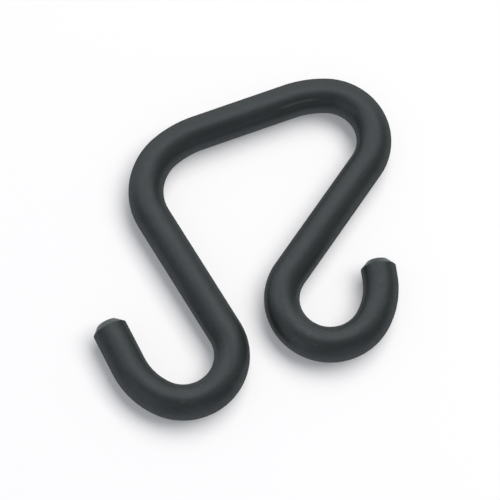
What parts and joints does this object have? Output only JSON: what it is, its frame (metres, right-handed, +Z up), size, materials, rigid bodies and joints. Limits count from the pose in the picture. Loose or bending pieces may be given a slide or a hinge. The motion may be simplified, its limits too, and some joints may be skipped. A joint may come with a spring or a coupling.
{
  "type": "basket hook",
  "caption": "Flat basket hook bent from one round, black-coated steel rod: a hanging bar on top, legs that lean in, and a hook curling outwards and up at the foot of each leg.",
  "frame": {"origin": "under the middle of the hook's footprint, on the surface that it lies on", "axes": "+Z up from that surface, across the flat hook; +X along the hanging bar, from the open hook's side to the close hook's side; +Y from the hooks towards the bar"},
  "size_m": [0.101, 0.0852, 0.01],
  "materials": {
    "black_coating": "satin black coating over steel, slightly cool, with fine grain and a few light specks"
  },
  "bodies": {
    "root": {"hook_rod": "black_coating"}
  },
  "joints": []
}
